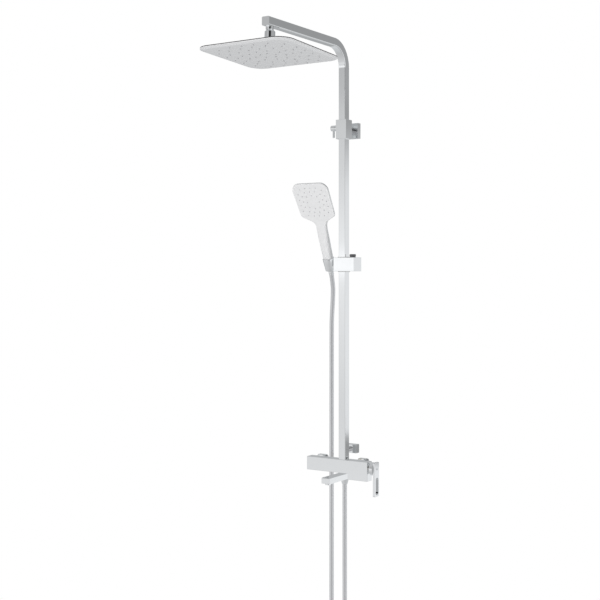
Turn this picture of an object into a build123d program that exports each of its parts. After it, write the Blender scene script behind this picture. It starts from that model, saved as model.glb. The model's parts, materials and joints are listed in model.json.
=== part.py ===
"""Rainfall shower column: exposed bath mixer, square riser, overhead rose, handset and hose.

Frame, in millimetres: the wall is the plane Y = 0 and +Y goes into it, +X is to the right when
facing the wall, +Z is up. The origin is midway between the two water inlets, at their height.
"""
from build123d import *
from math import cos, pi, radians, sin, tan
import os

os.makedirs("parts", exist_ok=True)

# ---- driving dimensions ----
gap = 0.3                      # free space between parts that move past each other
running = 0.05                 # radial clearance of a running fit
inlet_spacing = 150            # centre distance of the hot and cold inlets
g12_r, g34_r = 10.48, 13.22    # outside radii of G1/2 and G3/4 threads

bar_left, bar_right = -90, 130
bar_front, bar_back = -77, -47
bar_top, bar_bottom = 21, -39
notch_z, notch_x = -21, 60     # underside of the shallow left part, and the step's wall
line_y = (bar_front + bar_back) / 2
rosette_side, rosette_depth = 38, 10

riser_x, riser_size, riser_wall, riser_corner = 38, 25, 1.5, 3
bend_radius, arm_z, arm_reach = 70, 1312.5, 430
riser_bore = riser_size - 2 * riser_wall
arm_underside = arm_z - riser_size / 2
arm_tip_y = line_y - arm_reach

outlet_x = 41                  # axis of the swivel spout and of the hose outlet
spout_width, spout_height, spout_reach = 30, 17, 114
spout_top = notch_z - 0.6
spout_bottom = spout_top - spout_height
nipple_low = notch_z - 20

tilt_x = 134                   # where the lever's flow pivot crosses the valve axis
hub_start, hub_end, hub_r = 135, 149, 20
lever_width, lever_thick, lever_top, lever_bottom = 27, 7, 21, -84
pocket_z, pocket_length, pocket_width, pocket_depth = -52.5, 53, 18, 4.5

head_side, head_corner, head_rim = 310, 48, 5
head_y = line_y - 408
ball_z, ball_r, seat_r = 1279.5, 9.5, 12
head_tilt = (-2.8, 0, 0)       # the rose rests a little low at the back

block_z, block_width, block_depth, block_height = 1051, 38, 36, 60
flange_side, flange_depth = 48, 17
clamp_z, clamp_boss, clamp_knob = 1057, 10, 16
lower_z, lower_width, lower_depth, lower_height = 48, 38, 20, 27

slider_top, slider_low = 651, 608
slider_left, slider_right = riser_x - 25, riser_x + 50
slider_front, slider_back = -89, -43
button_x, button_r, button_rise, button_travel = riser_x + 32, 10, 7, 3

cup_x, cup_y, cup_z, lean = riser_x - 45, -75, 631, 21
cup_half, cup_top_r, cup_low_r, cup_wall = 19.5, 16.3, 9.8, 2.2
pivot_drop = 9.5               # how far down the cup's axis its tilting pivot lies
face_lean, neck_length = 31, 146
face_width, face_height, face_depth = 129, 130, 11

hose_r = 7


# ---- small helpers ----
def along(x, y, z, way):
    """A plane at a point whose normal is the given direction, its own X kept level."""
    return Plane(origin=(x, y, z), x_dir=(1, 0, 0) if abs(way[0]) < 0.5 else (0, 1, 0), z_dir=way)


def ring_spots(radius, count, turn=0):
    """Evenly spaced places on a rounded square ring: a circle pushed a little towards a square."""
    spots = []
    for i in range(count):
        a = 2 * pi * i / count + turn
        swell = (abs(cos(a)) ** 4 + abs(sin(a)) ** 4) ** -0.25
        spots.append((radius * swell * cos(a), radius * swell * sin(a)))
    return spots


# ---- mixer ----
with BuildPart() as mixer_body:
    with BuildSketch(Plane.XZ.offset(-bar_back)):
        with BuildLine():
            Polyline((bar_left, notch_z), (bar_left, bar_top), (bar_right, bar_top),
                     (bar_right, bar_bottom), (notch_x, bar_bottom), (notch_x, notch_z), close=True)
        make_face()
    extrude(amount=bar_back - bar_front)
    fillet(mixer_body.edges(), radius=1.2)
    for x in (-inlet_spacing / 2, inlet_spacing / 2):
        with BuildSketch(Plane.XZ.offset(-bar_back)):
            with Locations((x, 0)):
                Circle(10.8)
        extrude(amount=-11)
        with BuildSketch(Plane.XZ.offset(38.5)):
            with Locations((x, 0)):
                Circle(12.6)
        extrude(amount=-2.5)
        with BuildSketch(Plane.XZ.offset(36)):
            with Locations((x, 0)):
                Circle(7)
        extrude(amount=32, mode=Mode.SUBTRACT)
    with BuildSketch(Plane.YZ.offset(90)):
        with Locations((line_y, 0)):
            Circle(12.5)
    extrude(amount=60, mode=Mode.SUBTRACT)
    for x, y in ((-inlet_spacing / 2, line_y - 4.5), (inlet_spacing / 2, line_y + 4.5)):
        with BuildSketch(Plane.YZ.offset(x)):
            with Locations((y, 0)):
                Circle(3)
        extrude(amount=92 - x, mode=Mode.SUBTRACT)
    with BuildSketch(Plane.XY.offset(bar_top)):
        with Locations((riser_x, line_y)):
            Circle(10.5)
    extrude(amount=-14, mode=Mode.SUBTRACT)
    with BuildSketch(Plane.XY.offset(notch_z)):
        with Locations((outlet_x, line_y)):
            Circle(g12_r)
    extrude(amount=9, mode=Mode.SUBTRACT)
mixer_body.part.label = "mixer_body"
export_step(mixer_body.part, "parts/mixer_body.step")

for side, x in (("hot", -inlet_spacing / 2), ("cold", inlet_spacing / 2)):
    inlet_axis = along(x, 0, 0, (0, -1, 0))

    with BuildPart() as s_union:
        with BuildSketch(inlet_axis.offset(-18)):
            Circle(g12_r)
        extrude(amount=20)
        with BuildSketch(inlet_axis.offset(2)):
            RegularPolygon(13, 6, major_radius=False)
        extrude(amount=20)
        with BuildSketch(inlet_axis.offset(22)):
            Circle(g34_r)
        extrude(amount=12)
        with BuildSketch(inlet_axis.offset(-18)):
            Circle(7)
        extrude(amount=52, mode=Mode.SUBTRACT)
    s_union.part.label = f"s_union_{side}"
    export_step(s_union.part, f"parts/s_union_{side}.step")

    with BuildPart() as inlet_nut:
        with BuildSketch(inlet_axis.offset(24)):
            RegularPolygon(15, 6, major_radius=False)
            Circle(g34_r + 0.03, mode=Mode.SUBTRACT)
        extrude(amount=14.5)
        with BuildSketch(inlet_axis.offset(38.5)):
            RegularPolygon(15, 6, major_radius=False)
            Circle(11.1, mode=Mode.SUBTRACT)
        extrude(amount=3)
        chamfer(inlet_nut.faces().sort_by(Axis.Y)[0].outer_wire().edges(), length=0.8)
    inlet_nut.part.label = f"inlet_nut_{side}"
    export_step(inlet_nut.part, f"parts/inlet_nut_{side}.step")

    with BuildPart() as inlet_washer:
        with BuildSketch(inlet_axis.offset(34)):
            Circle(12.4)
            Circle(7, mode=Mode.SUBTRACT)
        extrude(amount=2)
    inlet_washer.part.label = f"inlet_washer_{side}"
    export_step(inlet_washer.part, f"parts/inlet_washer_{side}.step")

    with BuildPart() as rosette:
        with BuildSketch(inlet_axis):
            RectangleRounded(rosette_side, rosette_side, 8)
        extrude(amount=rosette_depth)
        chamfer(rosette.faces().sort_by(Axis.Y)[0].edges(), length=2)
        with BuildSketch(inlet_axis):
            RectangleRounded(rosette_side - 4, rosette_side - 4, 6)
        extrude(amount=rosette_depth - 2.5, mode=Mode.SUBTRACT)
        with BuildSketch(inlet_axis):
            Circle(16)
        extrude(amount=rosette_depth, mode=Mode.SUBTRACT)
    rosette.part.label = f"rosette_{side}"
    export_step(rosette.part, f"parts/rosette_{side}.step")

# ---- cartridge and lever ----
screw_low = 142                # where the lever's screw bites into the stem
screw_seat = hub_end + 2.5
valve_axis = along(0, line_y, 0, (1, 0, 0))

with BuildPart() as cartridge:
    with BuildSketch(valve_axis.offset(92)):
        Circle(12.45)
    extrude(amount=28)
    with BuildSketch(valve_axis.offset(104)):
        Circle(6)
    extrude(amount=16, mode=Mode.SUBTRACT)
cartridge.part.label = "cartridge"
export_step(cartridge.part, "parts/cartridge.step")

with BuildPart() as cartridge_nut:
    with BuildSketch(valve_axis.offset(120)):
        Circle(12.45)
        Circle(7.5, mode=Mode.SUBTRACT)
    extrude(amount=bar_right - 120)
    with BuildSketch(valve_axis.offset(bar_right)):
        Circle(14)
        Circle(7.5, mode=Mode.SUBTRACT)
    extrude(amount=1)
cartridge_nut.part.label = "cartridge_nut"
export_step(cartridge_nut.part, "parts/cartridge_nut.step")

with BuildPart() as cartridge_spindle:
    with BuildSketch(valve_axis.offset(104.3)):
        Circle(6 - running)
    extrude(amount=33.7)
    with BuildSketch(Plane.XZ.offset(-line_y)):
        with Locations((tilt_x, 0)):
            Rectangle(9, 14)
    extrude(amount=2.3, both=True, mode=Mode.SUBTRACT)
    with BuildSketch(Plane.XZ.offset(-line_y)):
        with Locations((tilt_x, 0)):
            Circle(1.5)
    extrude(amount=8, both=True, mode=Mode.SUBTRACT)
cartridge_spindle.part.label = "cartridge_spindle"
export_step(cartridge_spindle.part, "parts/cartridge_spindle.step")

with BuildPart() as lever_pin:
    with BuildSketch(Plane.XZ.offset(-line_y)):
        with Locations((tilt_x, 0)):
            Circle(1.5)
    extrude(amount=5.2, both=True)
lever_pin.part.label = "lever_pin"
export_step(lever_pin.part, "parts/lever_pin.step")

with BuildPart() as lever_stem:
    with BuildSketch(Plane.XZ.offset(-line_y)):
        with Locations((tilt_x, 0)):
            Circle(3)
            with Locations((6, 0)):
                Rectangle(12, 6)
            Circle(1.5 + running, mode=Mode.SUBTRACT)
    extrude(amount=2, both=True)
    with BuildSketch(valve_axis.offset(screw_low)):
        Circle(1.2)
    extrude(amount=4, mode=Mode.SUBTRACT)
lever_stem.part.label = "lever_stem"
export_step(lever_stem.part, "parts/lever_stem.step")

with BuildPart() as lever_handle:
    with BuildSketch(valve_axis.offset(hub_start)):
        Circle(hub_r)
    extrude(amount=hub_end - hub_start)
    chamfer(lever_handle.faces().sort_by(Axis.X)[0].edges(), length=3.5)
    with BuildSketch(Plane.YZ.offset(hub_end)):
        with Locations((line_y, (lever_top + lever_bottom) / 2)):
            RectangleRounded(lever_width, lever_top - lever_bottom, 3)
    extrude(amount=lever_thick)
    fillet(lever_handle.faces().sort_by(Axis.X)[-1].edges(), radius=0.8)
    with BuildSketch(Plane.YZ.offset(hub_end + lever_thick)):
        with Locations((line_y, pocket_z)):
            SlotOverall(pocket_length, pocket_width, rotation=90)
    extrude(amount=-pocket_depth, mode=Mode.SUBTRACT)
    with BuildSketch(valve_axis.offset(hub_start)):
        Circle(9)
    extrude(amount=5.5, mode=Mode.SUBTRACT)
    with BuildSketch(valve_axis.offset(hub_start)):
        Rectangle(4, 6)
    extrude(amount=11, mode=Mode.SUBTRACT)
    with BuildSketch(valve_axis.offset(hub_start + 11)):
        Circle(1.7)
    extrude(amount=6, mode=Mode.SUBTRACT)
    with BuildSketch(valve_axis.offset(screw_seat)):
        Circle(3.2)
    extrude(amount=8, mode=Mode.SUBTRACT)
lever_handle.part.label = "lever_handle"
export_step(lever_handle.part, "parts/lever_handle.step")

with BuildPart() as lever_screw:
    with BuildSketch(valve_axis.offset(screw_low)):
        Circle(1.2)
    extrude(amount=screw_seat - screw_low)
    with BuildSketch(valve_axis.offset(screw_seat)):
        Circle(3)
    extrude(amount=2.2)
    with BuildSketch(valve_axis.offset(screw_seat + 2.2)):
        RegularPolygon(1.3, 6)
    extrude(amount=-1.4, mode=Mode.SUBTRACT)
lever_screw.part.label = "lever_screw"
export_step(lever_screw.part, "parts/lever_screw.step")

with BuildPart() as lever_cap:
    with BuildSketch(valve_axis.offset(screw_seat + 2.5)):
        Circle(3.2)
    extrude(amount=2.3)
    fillet(lever_cap.faces().sort_by(Axis.X)[-1].edges(), radius=0.6)
lever_cap.part.label = "lever_cap"
export_step(lever_cap.part, "parts/lever_cap.step")

# ---- outlet, swivel spout and its aerator ----
outlet_axis = Plane(origin=(outlet_x, line_y, 0))

with BuildPart() as outlet_nipple:
    with BuildSketch(outlet_axis.offset(nipple_low)):
        Circle(g12_r)
        Circle(6, mode=Mode.SUBTRACT)
    extrude(amount=29)
outlet_nipple.part.label = "outlet_nipple"
export_step(outlet_nipple.part, "parts/outlet_nipple.step")

with BuildPart() as spout:
    with BuildSketch(outlet_axis.offset(spout_bottom)):
        Circle(spout_width / 2)
        with Locations((0, -spout_reach / 2)):
            Rectangle(spout_width, spout_reach)
    extrude(amount=spout_height)
    fillet(spout.faces().sort_by(Axis.Y)[0].edges(), radius=1.2)
    with BuildSketch(outlet_axis.offset(spout_bottom)):
        Circle(g12_r + running)
    extrude(amount=spout_height, mode=Mode.SUBTRACT)
    with BuildSketch(outlet_axis.offset(spout_bottom)):
        Circle(13)
    extrude(amount=8, mode=Mode.SUBTRACT)
    with BuildSketch(Plane.XZ.offset(-line_y + 12)):
        with Locations((outlet_x, notch_z - 6.5)):
            RectangleRounded(20, 5, 2)
    extrude(amount=spout_reach - 20, mode=Mode.SUBTRACT)
    with BuildSketch(outlet_axis.offset(spout_bottom)):
        with Locations((0, -spout_reach + 16)):
            Circle(9)
    extrude(amount=9, mode=Mode.SUBTRACT)
spout.part.label = "spout"
export_step(spout.part, "parts/spout.step")

with BuildPart() as spout_retainer:
    with BuildSketch(outlet_axis.offset(spout_bottom + 6.2)):
        Circle(12.6)
        Circle(g12_r, mode=Mode.SUBTRACT)
    extrude(amount=1.5)
spout_retainer.part.label = "spout_retainer"
export_step(spout_retainer.part, "parts/spout_retainer.step")

with BuildPart() as aerator_housing:
    with BuildSketch(outlet_axis.offset(spout_bottom - 5)):
        with Locations((0, -spout_reach + 16)):
            Circle(9)
            Circle(7, mode=Mode.SUBTRACT)
    extrude(amount=14)
aerator_housing.part.label = "aerator_housing"
export_step(aerator_housing.part, "parts/aerator_housing.step")

with BuildPart() as aerator_insert:
    with BuildSketch(outlet_axis.offset(spout_bottom - 3.5)):
        with Locations((0, -spout_reach + 16)):
            Circle(7)
    extrude(amount=8)
    with BuildSketch(outlet_axis.offset(spout_bottom - 3.5)):
        with Locations((0, -spout_reach + 16)):
            with GridLocations(3, 3, 3, 3):
                Rectangle(2, 2)
    extrude(amount=5, mode=Mode.SUBTRACT)
aerator_insert.part.label = "aerator_insert"
export_step(aerator_insert.part, "parts/aerator_insert.step")

# ---- riser, bend and arm in one tube ----
with BuildPart() as riser_adapter:
    with BuildSketch(Plane.XY.offset(bar_top - 14)):
        with Locations((riser_x, line_y)):
            Circle(10.45)
    extrude(amount=14)
    with BuildSketch(Plane.XY.offset(bar_top)):
        with Locations((riser_x, line_y)):
            RectangleRounded(riser_bore, riser_bore, riser_corner - riser_wall)
    extrude(amount=24)
    with BuildSketch(Plane.XY.offset(bar_top - 14)):
        with Locations((riser_x, line_y)):
            Circle(7)
    extrude(amount=38, mode=Mode.SUBTRACT)
riser_adapter.part.label = "riser_adapter"
export_step(riser_adapter.part, "parts/riser_adapter.step")

with BuildPart() as riser_pipe:
    with BuildLine():
        FilletPolyline((riser_x, line_y, bar_top), (riser_x, line_y, arm_z),
                       (riser_x, arm_tip_y, arm_z), radius=bend_radius)
    with BuildSketch(Plane.XY.offset(bar_top)):
        with Locations((riser_x, line_y)):
            RectangleRounded(riser_size, riser_size, riser_corner)
            RectangleRounded(riser_bore, riser_bore, riser_corner - riser_wall, mode=Mode.SUBTRACT)
    sweep()
    with BuildSketch(Plane.XY.offset(arm_underside - 1)):
        with Locations((riser_x, head_y)):
            Circle(g12_r)
    extrude(amount=riser_wall + 2, mode=Mode.SUBTRACT)
riser_pipe.part.label = "riser_pipe"
export_step(riser_pipe.part, "parts/riser_pipe.step")

with BuildPart() as arm_end_cap:
    with BuildSketch(Plane.XZ.offset(-arm_tip_y)):
        with Locations((riser_x, arm_z)):
            RectangleRounded(riser_bore, riser_bore, riser_corner - riser_wall)
    extrude(amount=-3)
arm_end_cap.part.label = "arm_end_cap"
export_step(arm_end_cap.part, "parts/arm_end_cap.step")

# ---- ball joint below the arm's end ----
drop_axis = Plane(origin=(riser_x, head_y, 0))
sleeve_top, sleeve_bottom = arm_underside, arm_underside - 9

with BuildPart() as arm_outlet:
    with BuildSketch(drop_axis.offset(arm_underside + riser_wall)):
        Rectangle(18, 21.9)
        Circle(6, mode=Mode.SUBTRACT)
    extrude(amount=3)
    with BuildSketch(drop_axis.offset(arm_underside + riser_wall)):
        Circle(g12_r)
        Circle(6, mode=Mode.SUBTRACT)
    extrude(amount=-riser_wall - 7)
arm_outlet.part.label = "arm_outlet"
export_step(arm_outlet.part, "parts/arm_outlet.step")

with BuildPart() as swivel_ball:
    with BuildSketch(drop_axis.offset(sleeve_bottom)):
        Circle(12)
    extrude(amount=9)
    chamfer(swivel_ball.faces().sort_by(Axis.Z)[0].edges(), length=1)
    with BuildSketch(drop_axis.offset(ball_z)):
        Circle(5)
    extrude(amount=sleeve_bottom - ball_z)
    with Locations((riser_x, head_y, ball_z)):
        Sphere(ball_r)
    with BuildSketch(drop_axis.offset(sleeve_top)):
        Circle(g12_r)
    extrude(amount=-7, mode=Mode.SUBTRACT)
    with BuildSketch(drop_axis.offset(sleeve_top)):
        Circle(3)
    extrude(amount=-40, mode=Mode.SUBTRACT)
swivel_ball.part.label = "swivel_ball"
export_step(swivel_ball.part, "parts/swivel_ball.step")

with BuildPart() as swivel_seat:
    with Locations((riser_x, head_y, ball_z)):
        Sphere(seat_r)
        Sphere(ball_r + gap, mode=Mode.SUBTRACT)
    split(bisect_by=Plane.XY.offset(ball_z + 4), keep=Keep.BOTTOM)
    split(bisect_by=Plane.XY.offset(ball_z - 6), keep=Keep.TOP)
swivel_seat.part.label = "swivel_seat"
export_step(swivel_seat.part, "parts/swivel_seat.step")

# ---- overhead rose, all on its own tilted plane through the ball's centre ----
rose = Plane(origin=(riser_x, head_y, ball_z)).rotated(head_tilt)
cavity_r = seat_r + gap
nut_low_z = -24                # underside of the swivel nut
back_z, rim_z = -49.5, -53     # top of the crowned back at its middle, and at the corners
under_z = rim_z - head_rim
dome_r = 6000                  # radius of the crowned back
face_drop, nozzle_drop = 3, 6  # how far the face and its nozzles stand below the rim

with BuildPart() as swivel_nut:
    with BuildSketch(rose.offset(nut_low_z)):
        Circle(15.2)
    extrude(amount=9 - nut_low_z)
    chamfer(swivel_nut.faces().sort_by(Axis.Z)[-1].edges(), length=3.5)
    with BuildSketch(rose.offset(nut_low_z)):
        Circle(13.22)
    extrude(amount=-3.5 - nut_low_z, mode=Mode.SUBTRACT)
    with Locations(rose.location):
        Sphere(cavity_r, mode=Mode.SUBTRACT)
    with BuildSketch(rose.offset(7)):
        Circle(10)
    extrude(amount=4, mode=Mode.SUBTRACT)
swivel_nut.part.label = "swivel_nut"
export_step(swivel_nut.part, "parts/swivel_nut.step")

with BuildPart() as rose_inlet:
    with BuildSketch(rose.offset(back_z - 4)):
        Circle(13.2)
    extrude(amount=-3.5 - back_z + 4)
    with Locations(rose.location):
        Sphere(cavity_r, mode=Mode.SUBTRACT)
    with BuildSketch(rose.offset(back_z - 4)):
        Circle(5)
    extrude(amount=-10 - back_z + 4, mode=Mode.SUBTRACT)
rose_inlet.part.label = "rose_inlet"
export_step(rose_inlet.part, "parts/rose_inlet.step")

with BuildPart() as rose_shell:
    with BuildSketch(rose.offset(under_z)):
        RectangleRounded(head_side, head_side, head_corner)
    extrude(amount=head_rim + 5)
    with Locations(rose.offset(back_z - dome_r).location):
        Sphere(dome_r, mode=Mode.INTERSECT)
    with BuildSketch(rose.offset(under_z)):
        RectangleRounded(head_side - 5, head_side - 5, head_corner - 2.5)
    extrude(amount=4.4, mode=Mode.SUBTRACT)
    with BuildSketch(rose.offset(back_z - 1)):
        Circle(22)
    with BuildSketch(rose.offset(nut_low_z - gap)):
        Circle(17)
    loft()
    with BuildSketch(rose.offset(under_z)):
        Circle(13.22)
    extrude(amount=nut_low_z - under_z, mode=Mode.SUBTRACT)
    with BuildSketch(rose.offset(under_z)):
        Circle(110)
    extrude(amount=6, mode=Mode.SUBTRACT)
rose_shell.part.label = "rose_shell"
export_step(rose_shell.part, "parts/rose_shell.step")

rose_rings = [(22, 5), (48, 9), (74, 13), (100, 16), (124, 20)]
rose_spots = [s for i, (r, n) in enumerate(rose_rings) for s in ring_spots(r, n, 0.3 * i)]
with BuildPart() as rose_face:
    with BuildSketch(rose.offset(under_z)):
        RectangleRounded(head_side - 5, head_side - 5, head_corner - 2.5)
    extrude(amount=2)
    with BuildSketch(rose.offset(under_z)):
        RectangleRounded(head_side - 5, head_side - 5, head_corner - 2.5)
    with BuildSketch(rose.offset(under_z - face_drop)):
        RectangleRounded(head_side - 29, head_side - 29, head_corner - 14.5)
    loft()
    with BuildSketch(rose.offset(under_z + 2)):
        with Locations(*rose_spots):
            Circle(2)
    extrude(amount=-face_drop - 2, mode=Mode.SUBTRACT)
rose_face.part.label = "rose_face"
export_step(rose_face.part, "parts/rose_face.step")

with BuildPart() as rose_nozzles:
    with BuildSketch(rose.offset(under_z + 2)):
        RectangleRounded(head_side - 25, head_side - 25, head_corner - 12)
    extrude(amount=2)
    with BuildSketch(rose.offset(under_z + 2)):
        with Locations(*rose_spots):
            Circle(2)
    extrude(amount=-nozzle_drop - 2)
rose_nozzles.part.label = "rose_nozzles"
export_step(rose_nozzles.part, "parts/rose_nozzles.step")

with BuildPart() as rose_gasket:
    with BuildSketch(rose.offset(under_z + 2)):
        RectangleRounded(head_side - 6, head_side - 6, head_corner - 3)
        RectangleRounded(head_side - 24, head_side - 24, head_corner - 12, mode=Mode.SUBTRACT)
    extrude(amount=2.2)
rose_gasket.part.label = "rose_gasket"
export_step(rose_gasket.part, "parts/rose_gasket.step")

# ---- upper bracket ----
with BuildPart() as upper_block:
    with BuildSketch(Plane.XY.offset(block_z - block_height / 2)):
        with Locations((riser_x, line_y)):
            Rectangle(block_width, block_depth)
    extrude(amount=block_height)
    chamfer(upper_block.edges(), length=0.8)
    with BuildSketch(Plane.XY.offset(block_z - block_height / 2)):
        with Locations((riser_x, line_y)):
            RectangleRounded(riser_size, riser_size, riser_corner)
    extrude(amount=block_height, mode=Mode.SUBTRACT)
    with BuildSketch(Plane.YZ.offset(riser_x - block_width / 2)):
        with Locations((line_y, clamp_z)):
            Circle(9.3)
    extrude(amount=-clamp_boss)
    with BuildSketch(Plane.YZ.offset(riser_x)):
        with Locations((line_y, clamp_z)):
            Circle(4 + running)
    extrude(amount=-40, mode=Mode.SUBTRACT)
upper_block.part.label = "upper_block"
export_step(upper_block.part, "parts/upper_block.step")

clamp_face = riser_x - block_width / 2 - clamp_boss
with BuildPart() as clamp_lever:
    with BuildSketch(Plane.YZ.offset(clamp_face - gap)):
        with Locations((line_y, clamp_z)):
            Circle(9)
    extrude(amount=-clamp_knob)
    fillet(clamp_lever.edges().filter_by(GeomType.CIRCLE), radius=2)
    with BuildSketch(Plane.XY.offset(clamp_z)):
        with Locations((clamp_face - gap - clamp_knob / 2, line_y)):
            Circle(3.6)
    extrude(amount=-30)
    fillet(clamp_lever.faces().sort_by(Axis.Z)[0].edges(), radius=2)
clamp_lever.part.label = "clamp_lever"
export_step(clamp_lever.part, "parts/clamp_lever.step")

with BuildPart() as clamp_screw:
    with BuildSketch(Plane.YZ.offset(clamp_face - gap)):
        with Locations((line_y, clamp_z)):
            Circle(4)
    extrude(amount=14)
clamp_screw.part.label = "clamp_screw"
export_step(clamp_screw.part, "parts/clamp_screw.step")

# ---- the two wall fixings: neck, cover and screwed plate ----
fixings = (("upper", block_z, flange_side, flange_side, flange_depth, line_y + block_depth / 2, 12),
           ("lower", lower_z, lower_width, lower_height, lower_depth, line_y + riser_size / 2, 8))
for name, z, width, height, depth, start_y, neck_r in fixings:
    with BuildPart() as neck:
        with BuildSketch(along(riser_x, start_y, z, (0, 1, 0))):
            Circle(neck_r)
        extrude(amount=-depth - start_y)
    neck.part.label = f"{name}_neck"
    export_step(neck.part, f"parts/{name}_neck.step")

    with BuildPart() as cover:
        with BuildSketch(Plane.XZ.offset(0)):
            with Locations((riser_x, z)):
                Rectangle(width, height)
        extrude(amount=depth)
        chamfer(cover.faces().sort_by(Axis.Y)[0].edges(), length=0.8)
        with BuildSketch(Plane.XZ.offset(0)):
            with Locations((riser_x, z)):
                Rectangle(width - 4, height - 4)
        extrude(amount=depth - 2, mode=Mode.SUBTRACT)
    cover.part.label = f"{name}_cover"
    export_step(cover.part, f"parts/{name}_cover.step")

    with BuildPart() as plate:
        with BuildSketch(Plane.XZ.offset(0)):
            with Locations((riser_x, z)):
                Rectangle(width - 4, height - 4)
                with GridLocations(width - 18, 1, 2, 1):
                    Circle(2.5, mode=Mode.SUBTRACT)
        extrude(amount=3)
    plate.part.label = f"{name}_wall_plate"
    export_step(plate.part, f"parts/{name}_wall_plate.step")

# ---- slider ----
slider_height = slider_top - slider_low
liner_out, liner_in = 29, riser_size + 2 * 0.1
pivot_y = cup_y + pivot_drop * sin(radians(lean))
pivot_z = cup_z - pivot_drop * cos(radians(lean))
with BuildPart() as slider_body:
    with BuildSketch(Plane.XY.offset(slider_low)):
        with Locations(((slider_left + slider_right) / 2, line_y)):
            RectangleRounded(slider_right - slider_left, slider_back - slider_front, 2)
    extrude(amount=slider_height)
    chamfer(slider_body.faces().sort_by(Axis.Z)[0].edges(), length=0.7)
    chamfer(slider_body.faces().sort_by(Axis.Z)[-1].edges(), length=0.7)
    with BuildSketch(Plane.XY.offset(slider_low)):
        with Locations((riser_x, line_y)):
            RectangleRounded(liner_out, liner_out, 3)
    extrude(amount=slider_height, mode=Mode.SUBTRACT)
    with BuildSketch(Plane.XY.offset(slider_top)):
        with Locations((button_x, line_y)):
            Circle(9)
    extrude(amount=-30, mode=Mode.SUBTRACT)
    with BuildSketch(along(slider_left, pivot_y, pivot_z, (1, 0, 0))):
        Circle(4.5)
    extrude(amount=7, mode=Mode.SUBTRACT)
slider_body.part.label = "slider_body"
export_step(slider_body.part, "parts/slider_body.step")

with BuildPart() as slider_liner:
    with BuildSketch(Plane.XY.offset(slider_low - 2)):
        with Locations((riser_x, line_y)):
            RectangleRounded(liner_out, liner_out, 3)
            RectangleRounded(liner_in, liner_in, riser_corner, mode=Mode.SUBTRACT)
    extrude(amount=slider_height + 4)
slider_liner.part.label = "slider_liner"
export_step(slider_liner.part, "parts/slider_liner.step")

with BuildPart() as slider_button:
    with BuildSketch(Plane.XY.offset(slider_top + button_travel + gap)):
        with Locations((button_x, line_y)):
            Circle(button_r)
    extrude(amount=button_rise)
    fillet(slider_button.faces().sort_by(Axis.Z)[-1].edges(), radius=2.5)
    with BuildSketch(Plane.XY.offset(slider_top + button_travel + gap)):
        with Locations((button_x, line_y)):
            Circle(9 - running)
    extrude(amount=-14)
slider_button.part.label = "slider_button"
export_step(slider_button.part, "parts/slider_button.step")

spring_low, spring_turn = slider_top - 29, 4
with BuildPart() as button_spring:
    with BuildLine():
        coil = Helix(pitch=spring_turn, height=16, radius=6, center=(button_x, line_y, spring_low))
    with BuildSketch(Plane(origin=coil @ 0, z_dir=coil % 0)):
        Circle(0.6)
    sweep(is_frenet=True)
button_spring.part.label = "button_spring"
export_step(button_spring.part, "parts/button_spring.step")

# ---- holder, leaning forward about its pivot ----
cup = Plane(origin=(cup_x, cup_y, cup_z), x_dir=(1, 0, 0),
            z_dir=(0, -sin(radians(lean)), cos(radians(lean))))
cup_slope = (cup_top_r - cup_low_r) / (2 * cup_half)


def cup_radius(z):
    """Radius of the cup's cone at a height above its middle."""
    return cup_low_r + (z + cup_half) * cup_slope


with BuildPart() as holder_pivot:
    with BuildSketch(along(slider_left - 8, pivot_y, pivot_z, (1, 0, 0))):
        Circle(4.5)
    extrude(amount=15)
holder_pivot.part.label = "holder_pivot"
export_step(holder_pivot.part, "parts/holder_pivot.step")

with BuildPart() as handset_holder:
    with BuildSketch(cup.offset(-cup_half)):
        Circle(cup_low_r + cup_wall)
    with BuildSketch(cup.offset(cup_half)):
        Circle(cup_top_r + cup_wall)
    loft()
    with BuildSketch(along(cup_x, pivot_y, pivot_z, (1, 0, 0))):
        Circle(9)
    extrude(amount=slider_left - cup_x - 0.6)
    with BuildSketch(cup.offset(-cup_half)):
        Circle(cup_low_r)
    with BuildSketch(cup.offset(cup_half)):
        Circle(cup_top_r)
    loft(mode=Mode.SUBTRACT)
    with BuildSketch(cup.offset(-cup_half - 1)):
        with Locations((-15, 0)):
            Rectangle(30, 15)
    extrude(amount=2 * cup_half + 2, mode=Mode.SUBTRACT)
    with BuildSketch(along(slider_left - 8.5, pivot_y, pivot_z, (1, 0, 0))):
        Circle(4.5 + running)
    extrude(amount=10, mode=Mode.SUBTRACT)
handset_holder.part.label = "handset_holder"
export_step(handset_holder.part, "parts/handset_holder.step")

# ---- handset: a handle along the cup's axis and a head that leans further forward ----
nut_top, nut_low, stub_low = 5, -20.5, -5      # heights along the cup's axis
cup_axis = cup.z_dir
neck_end = cup.from_local_coords(Vector(0, 0, neck_length))
face_out = Vector(0, -cos(radians(face_lean)), -sin(radians(face_lean)))
front = Plane(origin=neck_end + face_out * 9, x_dir=(1, 0, 0), z_dir=face_out)


def head_outline(plane, inset):
    """The head's outline: a rounded square whose shoulders curve down to the handle."""
    with BuildSketch(plane) as outline:
        with BuildLine():
            Polyline((-17, -34), (-17, -8), (-face_width / 2 + 4, 16), (-face_width / 2, face_height),
                     (face_width / 2, face_height), (face_width / 2 - 4, 16), (17, -8), (17, -34),
                     close=True)
        make_face()
        for level, radius in ((3, 26), (2, 14), (1, 22)):
            fillet(outline.vertices().group_by(Axis.Y)[level], radius=radius)
        if inset:
            offset(amount=-inset)
    return outline.sketch


grip_sections = [(cup_half, 28.5, 28.5, 14.15), (80, 31, 24, 10), (neck_length, 36, 16, 7.5)]
back_outline = head_outline(front.offset(-face_depth), 0)
lid_outline = head_outline(front, 2.5)
mat_outline = head_outline(front.offset(-3), 9)
gasket_outside = head_outline(front.offset(-3), 3)
gasket_inside = head_outline(front.offset(-3), 8)

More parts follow.
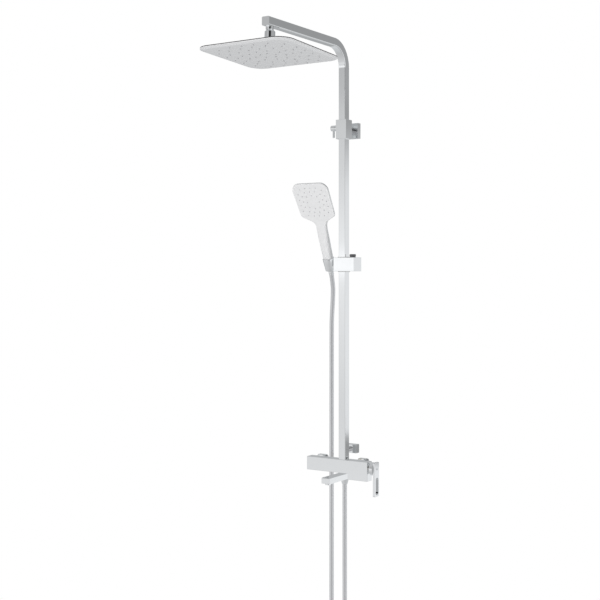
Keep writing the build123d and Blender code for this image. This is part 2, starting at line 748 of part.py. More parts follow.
with BuildPart() as handset_shell:
    with BuildSketch(cup.offset(stub_low)):
        Circle(g12_r)
    extrude(amount=nut_top - stub_low + 1)
    with BuildSketch(cup.offset(nut_top + 0.2)):
        Circle(cup_radius(nut_top) - gap)
    with BuildSketch(cup.offset(cup_half)):
        Circle(14.2)
    loft()
    for low, high in zip(grip_sections, grip_sections[1:]):
        for height, width, depth, corner in (low, high):
            with BuildSketch(cup.offset(height)):
                RectangleRounded(width, depth, corner)
        loft()
    extrude(back_outline, amount=face_depth)
    extrude(lid_outline, amount=-face_depth + 2.5, mode=Mode.SUBTRACT)
    with BuildSketch(cup.offset(stub_low)):
        Circle(6)
    extrude(amount=neck_length, mode=Mode.SUBTRACT)
handset_shell.part.label = "handset_shell"
export_step(handset_shell.part, "parts/handset_shell.step")

handset_rings = [(22, 8), (35, 13), (48, 17)]
handset_spots = [(x, y + face_height / 2 + 2) for i, (r, n) in enumerate(handset_rings)
                 for x, y in ring_spots(r, n, 0.2 * i)]
with BuildPart() as handset_face:
    extrude(lid_outline, amount=-3)
    with BuildSketch(front):
        with Locations(*handset_spots):
            Circle(1.5)
    extrude(amount=-3, mode=Mode.SUBTRACT)
handset_face.part.label = "handset_face"
export_step(handset_face.part, "parts/handset_face.step")

with BuildPart() as handset_nozzles:
    extrude(mat_outline, amount=-2)
    with BuildSketch(front.offset(-3)):
        with Locations(*handset_spots):
            Circle(1.5)
    extrude(amount=4)
handset_nozzles.part.label = "handset_nozzles"
export_step(handset_nozzles.part, "parts/handset_nozzles.step")

with BuildPart() as handset_gasket:
    extrude(gasket_outside, amount=-2.2)
    extrude(gasket_inside, amount=-2.2, mode=Mode.SUBTRACT)
handset_gasket.part.label = "handset_gasket"
export_step(handset_gasket.part, "parts/handset_gasket.step")

# ---- hose with a nut at each end ----
with BuildPart() as hose_nut_upper:
    with BuildSketch(cup.offset(nut_low)):
        Circle(cup_radius(nut_low) - gap)
    with BuildSketch(cup.offset(nut_top)):
        Circle(cup_radius(nut_top) - gap)
    loft()
    with BuildSketch(cup.offset(stub_low - 2)):
        Circle(g12_r + 0.02)
    extrude(amount=nut_top - stub_low + 2, mode=Mode.SUBTRACT)
    with BuildSketch(cup.offset(nut_low)):
        Circle(hose_r + running)
    extrude(amount=stub_low - nut_low, mode=Mode.SUBTRACT)
hose_nut_upper.part.label = "hose_nut_upper"
export_step(hose_nut_upper.part, "parts/hose_nut_upper.step")

with BuildPart() as hose_washer_upper:
    with BuildSketch(cup.offset(stub_low - 2)):
        Circle(g12_r)
        Circle(5, mode=Mode.SUBTRACT)
    extrude(amount=2)
hose_washer_upper.part.label = "hose_washer_upper"
export_step(hose_washer_upper.part, "parts/hose_washer_upper.step")

nut_lower_top, nut_lower_shoulder, washer_low, nut_lower_end = -33, -40, -43, -56
with BuildPart() as hose_nut_lower:
    with BuildSketch(outlet_axis.offset(nut_lower_shoulder)):
        Circle(12.5)
    extrude(amount=nut_lower_top - nut_lower_shoulder)
    with BuildSketch(outlet_axis.offset(nut_lower_end)):
        Circle(8.6)
    with BuildSketch(outlet_axis.offset(nut_lower_shoulder)):
        Circle(12.5)
    loft()
    with BuildSketch(outlet_axis.offset(washer_low)):
        Circle(g12_r + 0.02)
    extrude(amount=nut_lower_top - washer_low, mode=Mode.SUBTRACT)
    with BuildSketch(outlet_axis.offset(nut_lower_end)):
        Circle(hose_r)
    extrude(amount=washer_low - nut_lower_end, mode=Mode.SUBTRACT)
hose_nut_lower.part.label = "hose_nut_lower"
export_step(hose_nut_lower.part, "parts/hose_nut_lower.step")

with BuildPart() as hose_washer_lower:
    with BuildSketch(outlet_axis.offset(washer_low)):
        Circle(g12_r)
        Circle(5, mode=Mode.SUBTRACT)
    extrude(amount=2)
hose_washer_lower.part.label = "hose_washer_lower"
export_step(hose_washer_lower.part, "parts/hose_washer_lower.step")

hose_start = cup.from_local_coords(Vector(0, 0, stub_low - 2))
hose_route = [hose_start, hose_start - cup_axis * 57] + [Vector(*p) for p in (
    (-15.5, -40.5, 516), (-22.5, -36, 453), (-23, -36, -477), (-58, -22, -519), (-57, -22, -577),
    (-18, -38, -618), (36, -60, -619), (75, -76, -578), (76.5, -76.5, -519),
    (outlet_x, line_y, -477), (outlet_x, line_y, washer_low))]
hose_bends = []
for before, corner, after in zip(hose_route, hose_route[1:], hose_route[2:]):
    shorter = min((corner - before).length, (after - corner).length)
    half_turn = radians((corner - before).get_angle(after - corner)) / 2
    hose_bends.append(0.45 * shorter / tan(half_turn))
print("hose bend radii:", [round(r) for r in hose_bends])

with BuildPart() as hose:
    with BuildLine() as hose_line:
        FilletPolyline(*hose_route, radius=hose_bends)
    with BuildSketch(Plane(origin=hose_start, z_dir=-cup_axis)):
        Circle(hose_r)
    sweep()
hose.part.label = "hose"
export_step(hose.part, "parts/hose.step")
hose_length = sum(e.length for e in hose_line.edges())
print("hose length:", round(hose_length), "volume over section times length:",
      round(hose.part.volume / (pi * hose_r ** 2 * hose_length), 4))
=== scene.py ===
import json
from math import asin, cos, pi, radians, sin, tan

import bmesh
import bpy
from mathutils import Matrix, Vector

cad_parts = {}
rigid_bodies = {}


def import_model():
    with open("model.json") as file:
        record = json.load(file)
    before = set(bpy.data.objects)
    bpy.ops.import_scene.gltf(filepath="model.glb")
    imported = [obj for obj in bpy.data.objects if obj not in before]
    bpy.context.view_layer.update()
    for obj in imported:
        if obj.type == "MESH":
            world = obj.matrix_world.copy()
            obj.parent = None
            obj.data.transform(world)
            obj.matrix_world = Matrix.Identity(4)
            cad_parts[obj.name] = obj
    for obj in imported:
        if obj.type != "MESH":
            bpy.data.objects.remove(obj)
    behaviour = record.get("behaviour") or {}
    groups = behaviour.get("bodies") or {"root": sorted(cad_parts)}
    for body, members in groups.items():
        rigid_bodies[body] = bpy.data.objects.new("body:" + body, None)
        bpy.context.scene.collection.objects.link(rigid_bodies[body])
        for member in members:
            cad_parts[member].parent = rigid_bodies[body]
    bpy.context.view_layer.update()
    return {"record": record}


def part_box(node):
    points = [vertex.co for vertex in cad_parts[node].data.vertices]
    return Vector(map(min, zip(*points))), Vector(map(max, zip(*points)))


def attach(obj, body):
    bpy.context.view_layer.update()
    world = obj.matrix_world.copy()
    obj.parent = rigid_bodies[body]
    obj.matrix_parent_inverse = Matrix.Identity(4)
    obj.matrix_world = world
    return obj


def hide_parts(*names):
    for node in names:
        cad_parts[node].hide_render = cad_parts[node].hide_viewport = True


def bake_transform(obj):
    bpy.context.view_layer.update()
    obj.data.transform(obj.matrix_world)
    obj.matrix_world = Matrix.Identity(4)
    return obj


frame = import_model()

MM = 0.001
CAMERA_PLACE = (1.853, -3.109, 0.612)
CAMERA_TURN = 33  # degrees to the left of looking straight at the wall

# ---- where the frame puts things ----
joints = {j["name"]: j for j in frame["record"]["behaviour"]["joints"]}
pivot = {name: Vector(j["pos_m"]) for name, j in joints.items() if "pos_m" in j}
handle_axis = Vector(joints["handset_lift"]["axis"])


# ---- camera ----
def make_camera():
    """Level camera, to the right of the column, looking back at it across the wall's normal."""
    data = bpy.data.cameras.new("camera")
    data.lens, data.sensor_width = 68, 36
    data.shift_y = -0.05
    data.clip_end = 60
    camera = bpy.data.objects.new("camera", data)
    camera.location = CAMERA_PLACE
    camera.rotation_euler = (radians(90), 0, radians(CAMERA_TURN))
    bpy.context.scene.collection.objects.link(camera)
    bpy.context.scene.camera = camera


make_camera()
bpy.context.scene.view_settings.view_transform = "Standard"


# ---- small node helpers ----
def new_material(name):
    """A material with its Principled shader, and functions that add and join nodes."""
    material = bpy.data.materials.new(name)
    material.use_nodes = True
    tree = material.node_tree
    shader = tree.nodes["Principled BSDF"]

    def add(kind, **values):
        node = tree.nodes.new(kind)
        for key, value in values.items():
            setattr(node, key, value)
        return node

    def join(source, target):
        tree.links.new(source, target)

    return material, shader, add, join


def surface_noise(add, join, scale, detail):
    """Noise over the object's own coordinates, finer with a larger scale."""
    place = add("ShaderNodeTexCoord")
    noise = add("ShaderNodeTexNoise")
    noise.inputs["Scale"].default_value = scale
    noise.inputs["Detail"].default_value = detail
    join(place.outputs["Object"], noise.inputs["Vector"])
    return noise.outputs["Fac"]


def remap(add, join, source, low, high):
    """The middle of a noise value's range, 0.3 to 0.7, stretched to low..high."""
    node = add("ShaderNodeMapRange")
    node.inputs["From Min"].default_value = 0.3
    node.inputs["From Max"].default_value = 0.7
    node.inputs["To Min"].default_value = low
    node.inputs["To Max"].default_value = high
    join(source, node.inputs["Value"])
    return node.outputs["Result"]


def blend_colours(add, join, source, first, second):
    """A colour between two, by a value."""
    node = add("ShaderNodeMix", data_type="RGBA")
    node.inputs[6].default_value = (*first, 1)
    node.inputs[7].default_value = (*second, 1)
    join(source, node.inputs[0])
    return node.outputs[2]


def bump(add, join, shader, source, strength, distance):
    """Fine relief on a shader, from a height value."""
    node = add("ShaderNodeBump")
    node.inputs["Strength"].default_value = strength
    node.inputs["Distance"].default_value = distance
    join(source, node.inputs["Height"])
    join(node.outputs["Normal"], shader.inputs["Normal"])


# ---- materials ----
SKIN_GRAIN = 900  # noise scale of a moulded skin


def metal(name, light, dark, rough, waviness, grain=220):
    """Polished or turned metal: faint waviness, and roughness that smudges change a little."""
    material, shader, add, join = new_material(name)
    shader.inputs["Metallic"].default_value = 1
    smudge = surface_noise(add, join, 14, 4)
    fine = surface_noise(add, join, grain, 2)
    join(blend_colours(add, join, smudge, light, dark), shader.inputs["Base Color"])
    join(remap(add, join, smudge, rough[0], rough[1]), shader.inputs["Roughness"])
    bump(add, join, shader, fine, waviness, 0.0002)
    return material


def plastic(name, light, dark, rough, relief=0.15, coat=0.0):
    """Moulded plastic or rubber: a fine skin texture and slightly uneven tone."""
    material, shader, add, join = new_material(name)
    shader.inputs["Specular IOR Level"].default_value = 0.5
    shader.inputs["Coat Weight"].default_value = coat
    tone = surface_noise(add, join, 22, 4)
    fine = surface_noise(add, join, SKIN_GRAIN, 2)
    join(blend_colours(add, join, tone, light, dark), shader.inputs["Base Color"])
    join(remap(add, join, tone, rough[0], rough[1]), shader.inputs["Roughness"])
    bump(add, join, shader, fine, relief, 0.0001)
    return material


LOOKS = {
    "chrome_plating": metal("chrome", (0.895, 0.908, 0.914), (0.867, 0.88, 0.886), (0.04, 0.08), 0.012),
    "hose_skin": metal("hose_silver", (0.785, 0.79, 0.80), (0.77, 0.775, 0.785), (0.36, 0.39), 0.004),
    "nozzle_silicone": plastic("silicone", (0.50, 0.50, 0.51), (0.44, 0.44, 0.45), (0.5, 0.65)),
    "white_face": plastic("white_abs", (0.80, 0.80, 0.80), (0.77, 0.77, 0.775), (0.24, 0.3), relief=0.01, coat=0.2),
    "rubber_seal": plastic("rubber", (0.03, 0.03, 0.03), (0.05, 0.05, 0.05), (0.6, 0.8)),
    "white_plastic": plastic("acetal", (0.72, 0.72, 0.70), (0.66, 0.66, 0.64), (0.35, 0.5)),
    "dark_button": plastic("button_gloss", (0.10, 0.10, 0.105), (0.13, 0.13, 0.135), (0.12, 0.2)),
    "cap_plastic": plastic("cap_grey", (0.42, 0.43, 0.45), (0.38, 0.39, 0.41), (0.2, 0.3)),
    "steel": metal("stainless", (0.62, 0.62, 0.63), (0.54, 0.54, 0.55), (0.22, 0.34), 0.1, 500),
    "brass": metal("turned_brass", (0.78, 0.62, 0.33), (0.68, 0.53, 0.27), (0.2, 0.32), 0.1, 400),
}
slots = {s["node"]: s["material_slot"] for s in frame["record"]["subparts"]}


def dress(obj, look):
    """Every face of the object takes one of the materials above."""
    if not obj.material_slots:
        obj.data.materials.append(LOOKS[look])
    for place in obj.material_slots:
        place.material = LOOKS[look]


for node, look in slots.items():
    dress(bpy.data.objects[node], look)


# ---- mesh helpers ----
def new_piece(name, shape, look, body, *nodes):
    """A finished mesh as a piece of the visual model: it moves with a body and stands in for nodes."""
    bmesh.ops.recalc_face_normals(shape, faces=shape.faces)
    mesh = bpy.data.meshes.new(name)
    shape.to_mesh(mesh)
    shape.free()
    mesh.polygons.foreach_set("use_smooth", [True] * len(mesh.polygons))
    mesh.materials.append(LOOKS[look])
    obj = bpy.data.objects.new(name, mesh)
    bpy.context.scene.collection.objects.link(obj)
    if body:
        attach(obj, body)
    for node in nodes:
        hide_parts(node)
    return obj


def keep_edges(obj, degrees):
    """Edges sharper than an angle stay crisp."""
    obj.data.set_sharp_from_angle(angle=radians(degrees))


def bridge(shape, first, second, closed=True):
    """Quads between two rows of vertices."""
    count = len(first)
    for k in range(count if closed else count - 1):
        after = (k + 1) % count
        shape.faces.new((first[k], first[after], second[after], second[k]))


def add_turned(shape, foot, way, profile, steps=16):
    """A turned form round an axis: profile is (distance along the axis, radius) in millimetres."""
    across = way.orthogonal().normalized()
    over = way.cross(across)
    rows = []
    for along, radius in profile:
        ring = []
        for k in range(steps):
            turn = 2 * pi * k / steps
            place = foot + way * along * MM + (across * cos(turn) + over * sin(turn)) * radius * MM
            ring.append(shape.verts.new(place))
        rows.append(ring)
    for low, high in zip(rows, rows[1:]):
        bridge(shape, low, high)
    shape.faces.new(rows[0][::-1])
    shape.faces.new(rows[-1])


def ring_spots(radius, count, turn):
    """Evenly spaced places on a rounded square ring."""
    spots = []
    for k in range(count):
        angle = 2 * pi * k / count + turn
        swell = (abs(cos(angle)) ** 4 + abs(sin(angle)) ** 4) ** -0.25
        spots.append((radius * swell * cos(angle), radius * swell * sin(angle)))
    return spots


# ---- handset ----
LEAN, FACE_LEAN = radians(21), radians(31)
PIVOT_DROP, NECK = 9.5, 146          # the cup's middle above its pivot, and the neck above that
FACE_WIDTH, FACE_HEIGHT = 129, 130
cup_middle = pivot["holder_tilt"] + handle_axis * PIVOT_DROP * MM
neck_end = cup_middle + handle_axis * NECK * MM
grip_out = Vector((0, -cos(LEAN), -sin(LEAN)))
face_out = Vector((0, -cos(FACE_LEAN), -sin(FACE_LEAN)))
face_up = Vector((0, -sin(FACE_LEAN), cos(FACE_LEAN)))


def ease(value, low, high):
    """0 below low, 1 above high, and smooth between."""
    t = min(max((value - low) / (high - low), 0), 1)
    return t * t * (3 - 2 * t)


def along_table(value, table):
    """A value read from (place, value) pairs, smooth between them."""
    for (low, first), (high, second) in zip(table, table[1:]):
        if value <= high:
            return first + (second - first) * ease(value, low, high)
    return table[-1][1]


GRIP_FRONT = ((6, 12.6), (19.5, 14.0), (80, 12), (150, 8), (300, 0))
GRIP_DEPTH = ((6, 25), (19.5, 28.0), (80, 24), (140, 17.5), (172, 11), (300, 11))
BACK_ROUND = ((6, 9), (100, 10), (172, 7), (300, 7))
WHITE_DEPTH = ((6, 17), (60, 15), (130, 10), (176, 3.2), (300, 3.2))
FRONT_ROUND = ((6, 10), (20, 9), (80, 5), (140, 4), (176, 1.6), (300, 1.6))


def on_handset(x, height, out):
    """A point by its place across, its height above the cup's middle and its distance out of the front."""
    share = ease(height, 112, 164)
    grip = cup_middle + handle_axis * height * MM + grip_out * along_table(height, GRIP_FRONT) * MM
    head = neck_end + face_out * 9 * MM + face_up * (height - NECK) * MM
    way = grip_out.lerp(face_out, share).normalized()
    return grip.lerp(head, share) + Vector((x, 0, 0)) * MM + way * out * MM


def side_profile():
    """The right edge of the handset's front, bottom to top, with its corners rounded."""
    corners = [((12.4, 6), 0), ((14.0, 19.5), 0), ((15.5, 80), 0), ((17.4, NECK - 8), 24),
               ((FACE_WIDTH / 2 - 4, NECK + 16), 16), ((FACE_WIDTH / 2, NECK + FACE_HEIGHT), 26),
               ((0, NECK + FACE_HEIGHT), 0)]
    points = []
    for k, ((x, y), radius) in enumerate(corners[:-1]):
        here = Vector((x, y))
        if not radius:
            points.append(here)
            continue
        back = (Vector(corners[k - 1][0]) - here).normalized()
        ahead = (Vector(corners[k + 1][0]) - here).normalized()
        half = back.angle(ahead) / 2
        middle = here + (back + ahead).normalized() * radius / sin(half)
        reach = radius / tan(half)
        first, last = here + back * reach - middle, here + ahead * reach - middle
        sweep = first.angle_signed(last)
        for step in range(13):
            turn = -sweep * step / 12
            points.append(middle + Vector((first.x * cos(turn) - first.y * sin(turn),
                                           first.x * sin(turn) + first.y * cos(turn))))
    filled = [points[0]]
    for point in points[1:]:
        gap = point - filled[-1]
        pieces = max(1, round(gap.length / 6))
        filled += [filled[-1] + gap * step / pieces for step in range(1, pieces + 1)]
    return filled


COLUMNS = 24
edge = side_profile()


def outline(inset):
    """The front's outline as one loop, inset: bottom, right side, top, left side."""
    rows = edge
    across = [2 * k / COLUMNS - 1 for k in range(COLUMNS + 1)]
    loop = [Vector((rows[0].x * u, rows[0].y)) for u in across]
    loop += rows[1:]
    loop += [Vector((rows[-1].x * -u, rows[-1].y)) for u in across[1:]]
    loop += [Vector((-point.x, point.y)) for point in rows[-2:0:-1]]
    moved = []
    for k, point in enumerate(loop):
        way = loop[(k + 1) % len(loop)] - loop[k - 1]
        inward = Vector((-way.y, way.x)).normalized()
        moved.append(point + inward * inset)
    return moved


def close_with_grid(shape, loop, flat, out):
    """Fills a loop of the outline with rows of quads; out gives how far each point stands forward."""
    sides = (len(loop) - 2 * COLUMNS) // 2
    bottom = loop[:COLUMNS + 1]
    right = loop[COLUMNS:COLUMNS + sides + 1]
    top = loop[COLUMNS + sides:2 * COLUMNS + sides + 1][::-1]
    left = [loop[0]] + loop[2 * COLUMNS + sides:][::-1]
    rows = [bottom]
    for k in range(1, sides):
        a = flat[loop.index(left[k])]
        b = flat[loop.index(right[k])]
        row = [left[k]]
        for step in range(1, COLUMNS):
            spot = a.lerp(b, step / COLUMNS)
            row.append(shape.verts.new(on_handset(spot.x, spot.y, out(spot, 2 * step / COLUMNS - 1))))
        rows.append(row + [right[k]])
    rows.append(top)
    for low, high in zip(rows, rows[1:]):
        bridge(shape, low, high, closed=False)


def add_loop(shape, inset, out):
    """The outline at an inset, and its vertices; out gives how far each stands forward."""
    flat = outline(inset)
    return flat, [shape.verts.new(on_handset(p.x, p.y, out(p.y))) for p in flat]


def make_handset():
    """A white front that wraps round the handle's sides, in a chrome back with a fine rim."""
    shell = bmesh.new()

    def seam(y):
        return -along_table(y, WHITE_DEPTH)

    rim = ((1.2, 0.8), (-0.15, 0.5), (-0.5, 0.1), (-0.6, -0.5), (-0.45, -1.1), (0, -1.5))
    loops = [add_loop(shell, inset, lambda y, d=depth: seam(y) + d) for inset, depth in rim]
    for step in range(1, 9):
        turn = pi / 2 * step / 8

        def behind(y, t=turn):
            deep = along_table(y, GRIP_DEPTH)
            start = seam(y) - 1.5
            return start - (deep + start) * sin(t)

        inner = outline(1)
        flat = [p + (q - p) * along_table(p.y, BACK_ROUND) * (1 - cos(turn)) for p, q in zip(outline(0), inner)]
        loops.append((flat, [shell.verts.new(on_handset(p.x, p.y, behind(p.y))) for p in flat]))
    for (_, low), (_, high) in zip(loops, loops[1:]):
        bridge(shell, low, high)
    close_with_grid(shell, loops[-1][1], loops[-1][0], lambda spot, u: -along_table(spot.y, GRIP_DEPTH))
    close_with_grid(shell, loops[0][1], loops[0][0], lambda spot, u: seam(spot.y) + 0.8)
    body = new_piece("handset_chrome", shell, "chrome_plating", "handset", "handset_shell")
    keep_edges(body, 50)

    front = bmesh.new()
    loops = [add_loop(front, 0.6, lambda y: seam(y) + 0.2), add_loop(front, 0, lambda y: seam(y) + 0.6)]
    for step in range(7):
        turn = pi / 2 * step / 6
        bent = [p + (q - p) * along_table(p.y, FRONT_ROUND) * (1 - cos(turn))
                for p, q in zip(outline(0), outline(1))]
        loops.append((bent, [front.verts.new(on_handset(p.x, p.y, (sin(turn) - 1) * along_table(p.y, FRONT_ROUND)))
                             for p in bent]))
    for (_, low), (_, high) in zip(loops, loops[1:]):
        bridge(front, low, high)

    def crown(spot, u):
        return 0.8 * (1 - u * u) * (1 - ease(spot.y, 110, 160))

    close_with_grid(front, loops[-1][1], loops[-1][0], crown)
    close_with_grid(front, loops[0][1], loops[0][0], lambda spot, u: seam(spot.y) + 0.2)
    new_piece("handset_white_front", front, "white_face", "handset", "handset_face")

    tips = bmesh.new()
    for k, (radius, count) in enumerate(((22, 8), (35, 13), (48, 17))):
        for x, y in ring_spots(radius, count, 0.2 * k):
            height = NECK + FACE_HEIGHT / 2 + 2 + y
            profile = ((-0.9, 1.9), (0.2, 1.8), (0.3, 1.5), (0.9, 1.1), (1.0, 0.85), (0.6, 0.4))
            add_turned(tips, on_handset(x, height, 0), face_out, profile)
    new_piece("handset_spray_tips", tips, "nozzle_silicone", "handset", "handset_nozzles")


make_handset()


# ---- overhead rose ----
ROSE_RINGS = ((22, 5), (48, 9), (74, 13), (100, 16), (124, 20))  # (radius, nozzles)
ROSE_DROP = 61                                                    # the underside below the ball's centre
ROSE_TILT = radians(-2.8)


def make_rose_tips():
    """Short soft cones standing out of the underside, ring by ring."""
    down = Vector((0, sin(ROSE_TILT), -cos(ROSE_TILT)))
    back = Vector((0, cos(ROSE_TILT), sin(ROSE_TILT)))
    centre = pivot["rose_tilt_front"] + down * ROSE_DROP * MM
    tips = bmesh.new()
    for k, (radius, count) in enumerate(ROSE_RINGS):
        for x, y in ring_spots(radius, count, 0.3 * k):
            foot = centre + Vector((x, 0, 0)) * MM + back * y * MM
            profile = ((-2.5, 1.9), (0.05, 2.3), (0.4, 2.1), (1.0, 1.6), (2.7, 1.2), (3.0, 0.9), (2.6, 0.5))
            add_turned(tips, foot, down, profile)
    new_piece("rose_spray_tips", tips, "nozzle_silicone", "overhead_rose", "rose_nozzles")


make_rose_tips()


# ---- hose ----
HOSE_R = 7 * MM
HOSE_SIDES = 20
hose_route = [(-7, -72.49, 624.46), (-7, -52.06, 571.25), (-15.5, -40.5, 516), (-22.5, -36, 453),
              (-22.6, -36, 400), (-23, -36, -425), (-23, -36, -477), (-58, -22, -519), (-57, -22, -577),
              (-18, -38, -618), (36, -60, -619), (75, -76, -578), (76.5, -76.5, -519), (41, -62, -477),
              (41, -62, -425), (41, -62, -90), (41, -62, -43)]


def route_line(points):
    """The points of a NURBS line shaped by a route in millimetres."""
    data = bpy.data.curves.new("hose_route", "CURVE")
    data.dimensions = "3D"
    spline = data.splines.new("NURBS")
    spline.points.add(len(points) - 1)
    for place, point in zip(spline.points, points):
        place.co = (*(c * MM for c in point), 1)
    spline.order_u = 3
    spline.use_endpoint_u = True
    spline.resolution_u = 40
    holder = bpy.data.objects.new("hose_route", data)
    line = bpy.data.meshes.new_from_object(holder)
    spots = [vertex.co.copy() for vertex in line.vertices]
    bpy.data.objects.remove(holder)
    bpy.data.curves.remove(data)
    bpy.data.meshes.remove(line)
    return spots


def make_hose():
    """A smooth round hose swept along its route, hanging between the slider and the mixer."""
    path = route_line(hose_route)
    shape = bmesh.new()
    side = Vector((1, 0, 0))
    rings = []
    for k, point in enumerate(path):
        way = (path[min(k + 1, len(path) - 1)] - path[max(k - 1, 0)]).normalized()
        side = (side - way * side.dot(way)).normalized()
        over = way.cross(side)
        turns = [2 * pi * n / HOSE_SIDES for n in range(HOSE_SIDES)]
        rings.append([shape.verts.new(point + (side * cos(turn) + over * sin(turn)) * HOSE_R) for turn in turns])
    for low, high in zip(rings, rings[1:]):
        bridge(shape, low, high)
    shape.faces.new(rings[0][::-1])
    shape.faces.new(rings[-1])
    hose = new_piece("shower_hose", shape, "hose_skin", None, "hose")
    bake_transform(hose)


make_hose()


SLOT_HALF = 7.5  # half the width of the cup's slot
CUP_STEPS = 48   # steps round the cup, from one side of the slot to the other


def make_holder():
    """The slotted cup: a cone whose foot stands a little forward, on a round boss to the slider."""
    shape = bmesh.new()
    across = Vector((1, 0, 0))
    rings = []
    for height, outer, shift, inner in ((-19.5, 13.2, 3.4, 10.2), (-19.3, 13.7, 3.4, 9.9), (-18.6, 14.0, 3.3, 9.8),
                                        (-8, 15.1, 2.4, 11.5), (4, 16.6, 1.2, 13.6), (18.6, 18.4, 0, 16.0),
                                        (19.2, 18.2, 0, 16.2), (19.5, 17.7, 0, 16.7)):
        middle = cup_middle + handle_axis * height * MM
        ring = []
        for radius, move, order in ((outer, shift, 1), (inner, 0, -1)):
            slot = asin(SLOT_HALF / radius)
            arc = [pi + slot + (2 * pi - 2 * slot) * k / CUP_STEPS for k in range(CUP_STEPS + 1)][::order]
            ring += [shape.verts.new(middle + grip_out * (move + radius * sin(turn)) * MM
                                     + across * radius * cos(turn) * MM) for turn in arc]
        rings.append(ring)
    for low, high in zip(rings, rings[1:]):
        bridge(shape, low, high)
    for ring in (rings[0], rings[-1]):
        for k in range(CUP_STEPS):
            shape.faces.new((ring[k], ring[k + 1], ring[2 * CUP_STEPS - k], ring[2 * CUP_STEPS + 1 - k]))
    slider_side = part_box("slider_body")[0][0] / MM
    boss = slider_side - 0.6 - cup_middle.x / MM
    profile = ((13.5, 8.4), (13.8, 9), (boss - 0.6, 9), (boss, 8.4))
    add_turned(shape, pivot["holder_tilt"], across, profile, 40)
    keep_edges(new_piece("handset_cup", shape, "chrome_plating", "holder", "handset_holder"), 40)


make_holder()


FERRULE_DROP = 36  # the ferrule's lower end below the cup's middle


def make_ferrule():
    """The crimped sleeve where the hose leaves the handset's nut."""
    shape = bmesh.new()
    foot = cup_middle - handle_axis * FERRULE_DROP * MM
    profile = ((0, 7.2), (0.2, 7.9), (1.2, 8.1), (2.6, 8.1), (3.2, 7.7), (4.4, 7.7), (5.0, 8.1), (9.8, 8.1),
               (10.4, 7.7), (11.4, 7.7), (12, 8.2), (15, 8.4), (15.6, 7.9))
    add_turned(shape, foot, handle_axis, profile, 32)
    keep_edges(new_piece("hose_ferrule", shape, "chrome_plating", "handset"), 35)


make_ferrule()


# The studio's panels are what the polished parts mirror, not these loose pieces.
for obj in bpy.data.objects:
    if obj.name.startswith(("handset_", "hose_", "shower_", "outlet_", "aerator_", "spout", "mixer_", "lower_")):
        obj.visible_glossy = False


# ---- studio ----
# Brightness of the studio by the height of the direction looked in, for three sides of the room.
FRONT_WALL = ((-1.0, 0.5), (-0.35, 0.7), (-0.25, 0.8), (-0.2, 0.81), (-0.16, 0.77), (-0.12, 0.74),
              (-0.03, 0.86), (-0.004, 0.9), (0.0, 1.17), (0.012, 1.17), (0.018, 0.92), (0.065, 0.8),
              (0.1, 0.7), (0.135, 0.66), (0.16, 0.54), (0.2, 0.52), (0.3, 0.42), (1.0, 0.6))
SIDE_WALL = ((-1.0, 0.4), (-0.3, 0.66), (-0.2, 0.9), (-0.168, 0.9), (-0.165, 0.30), (-0.147, 0.30),
             (-0.143, 0.82), (-0.06, 0.86), (0.0, 0.84), (0.07, 0.8), (0.1, 0.62), (0.13, 0.34), (0.16, 0.4),
             (0.2, 0.34), (0.3, 0.3), (1.0, 0.5))
BACK_WALL = ((-1.0, 0.6), (-0.4, 0.7), (-0.25, 0.5), (-0.15, 0.36), (0.0, 0.5), (0.15, 0.50),
             (0.22, 0.46), (0.5, 0.5), (1.0, 0.6))
# The room's sides by compass angle in degrees: which wall is there, and a dark gap between two panels.
CAMERA_SIDE = -57
DARK_GAP = 17
# How dark that gap is, by height: shallow low down and black above.
GAP_DEPTH = ((-1.0, 0.05), (-0.45, 0.1), (-0.33, 0.42), (-0.02, 0.45), (0.06, 0.75), (0.17, 1.0), (1.0, 1.0))


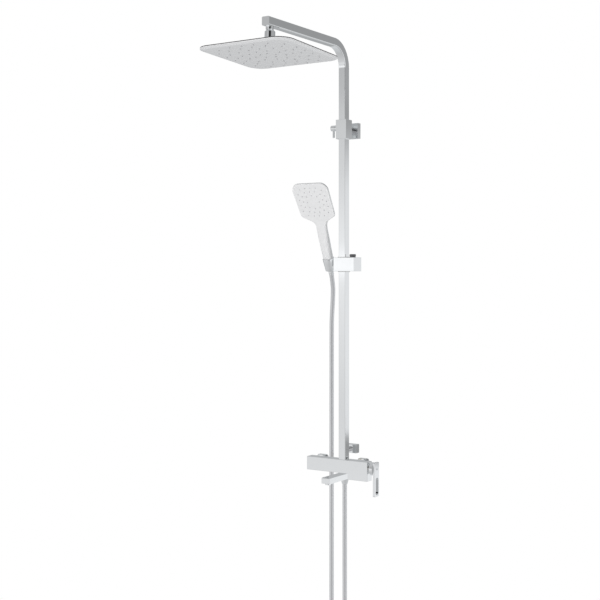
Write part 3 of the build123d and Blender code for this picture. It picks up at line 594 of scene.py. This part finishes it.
def sky():
    """Soft light from all round, from panels of different brightness, with one dark gap."""
    world = bpy.data.worlds.new("studio")
    world.use_nodes = True
    tree = world.node_tree
    tree.nodes.clear()

    def node(kind, **values):
        made = tree.nodes.new(kind)
        for key, value in values.items():
            setattr(made, key, value)
        return made

    def link(source, target):
        tree.links.new(source, target)

    def ramp(source, low, high, stops, tint=(1, 1, 1)):
        """A smooth curve through stops of (value, brightness)."""
        spread = node("ShaderNodeMapRange")
        spread.inputs["From Min"].default_value = low
        spread.inputs["From Max"].default_value = high
        link(source, spread.inputs["Value"])
        curve = node("ShaderNodeValToRGB")
        link(spread.outputs["Result"], curve.inputs["Fac"])
        elements = curve.color_ramp.elements
        elements.remove(elements[1])
        for k, (value, level) in enumerate(stops):
            place = (value - low) / (high - low)
            element = elements[0] if k == 0 else elements.new(place)
            element.position = place
            element.color = (*(level * t for t in tint), 1)
        return curve.outputs["Color"]

    def mix(weight, first, second, blend="MIX"):
        made = node("ShaderNodeMix", data_type="RGBA", blend_type=blend)
        if weight is None:
            made.inputs[0].default_value = 1
        else:
            link(weight, made.inputs[0])
        link(first, made.inputs[6])
        link(second, made.inputs[7])
        return made.outputs[2]

    place = node("ShaderNodeTexCoord")
    split = node("ShaderNodeSeparateXYZ")
    link(place.outputs["Generated"], split.inputs[0])
    turn = node("ShaderNodeMath", operation="ARCTAN2")
    link(split.outputs["Y"], turn.inputs[0])
    link(split.outputs["X"], turn.inputs[1])
    degrees = node("ShaderNodeMath", operation="MULTIPLY")
    link(turn.outputs[0], degrees.inputs[0])
    degrees.inputs[1].default_value = 180 / pi
    angle = degrees.outputs[0]

    front = ramp(split.outputs["Z"], -1, 1, FRONT_WALL, (0.985, 0.99, 1.0))
    side = ramp(split.outputs["Z"], -1, 1, SIDE_WALL, (0.975, 0.985, 1.0))
    back = ramp(split.outputs["Z"], -1, 1, BACK_WALL, (0.96, 0.98, 1.0))
    to_side = ramp(angle, -180, 180, ((-180, 0), (CAMERA_SIDE, 0), (-20, 1), (80, 1), (100, 0), (180, 0)))
    to_back = ramp(angle, -180, 180, ((-180, 0.5), (-160, 0), (80, 0), (100, 1), (160, 1), (180, 0.5)))
    panels = ramp(angle, -180, 180, ((-180, 1), (-118, 1), (-110, 1.25), (CAMERA_SIDE - 2 * DARK_GAP, 1.3),
                                     (CAMERA_SIDE - DARK_GAP, 0.04), (CAMERA_SIDE + DARK_GAP, 0.04),
                                     (CAMERA_SIDE + 2 * DARK_GAP, 1.3), (40, 1.25), (50, 1), (180, 1)))
    depth = ramp(split.outputs["Z"], -1, 1, GAP_DEPTH)
    walls = mix(to_back, mix(to_side, front, side), back)
    even = node("ShaderNodeRGB")
    even.outputs[0].default_value = (1, 1, 1, 1)
    shaded = mix(depth, even.outputs[0], panels)
    background = node("ShaderNodeBackground")
    link(mix(None, walls, shaded, "MULTIPLY"), background.inputs["Color"])
    out = node("ShaderNodeOutputWorld")
    link(background.outputs[0], out.inputs["Surface"])
    bpy.context.scene.world = world


FLOOR_Z = -1.05


def white_card(name, mesh):
    """A plain bright surface that the camera sees and that nothing is lit or mirrored by."""
    material = bpy.data.materials.new(name)
    material.use_nodes = True
    tree = material.node_tree
    tree.nodes.clear()
    out = tree.nodes.new("ShaderNodeOutputMaterial")
    glow = tree.nodes.new("ShaderNodeEmission")
    glow.inputs["Color"].default_value = (1, 1, 1, 1)
    tree.links.new(glow.outputs[0], out.inputs["Surface"])
    mesh.materials.append(material)
    obj = bpy.data.objects.new(name, mesh)
    obj.visible_glossy = False
    obj.visible_diffuse = False
    obj.visible_transmission = False
    obj.visible_shadow = False
    bpy.context.scene.collection.objects.link(obj)
    return obj


def studio():
    """A white dome and a plain pale floor, seen by the camera only."""
    dome = bpy.data.meshes.new("studio_dome")
    shape = bmesh.new()
    bmesh.ops.create_icosphere(shape, subdivisions=4, radius=20)
    bmesh.ops.reverse_faces(shape, faces=shape.faces)
    shape.to_mesh(dome)
    shape.free()
    white_card("studio_dome", dome)
    floor = bpy.data.meshes.new("studio_floor")
    floor.from_pydata([(-6, -8, 0), (6, -8, 0), (6, 3, 0), (-6, 3, 0)], [], [(0, 1, 2, 3)])
    white_card("studio_floor", floor).location.z = FLOOR_Z


def soft_light(name, place, aim, size, power):
    """An area light at a place, turned towards a point."""
    data = bpy.data.lights.new(name, "AREA")
    data.shape = "SQUARE"
    data.size = size
    data.energy = power
    lamp = bpy.data.objects.new(name, data)
    lamp.location = place
    lamp.visible_glossy = False
    lamp.rotation_euler = (Vector(aim) - Vector(place)).to_track_quat("-Z", "Y").to_euler()
    bpy.context.scene.collection.objects.link(lamp)


sky()
studio()
soft_light("key", (-1.2, -3.4, 1.4), (0, -0.1, 0.7), 1.6, 35)
soft_light("fill", (2.6, -1.8, 1.2), (0, -0.1, 0.5), 1.6, 18)
soft_light("low", (0.9, -1.2, -1.0), (0, -0.4, 1.2), 1.4, 13)
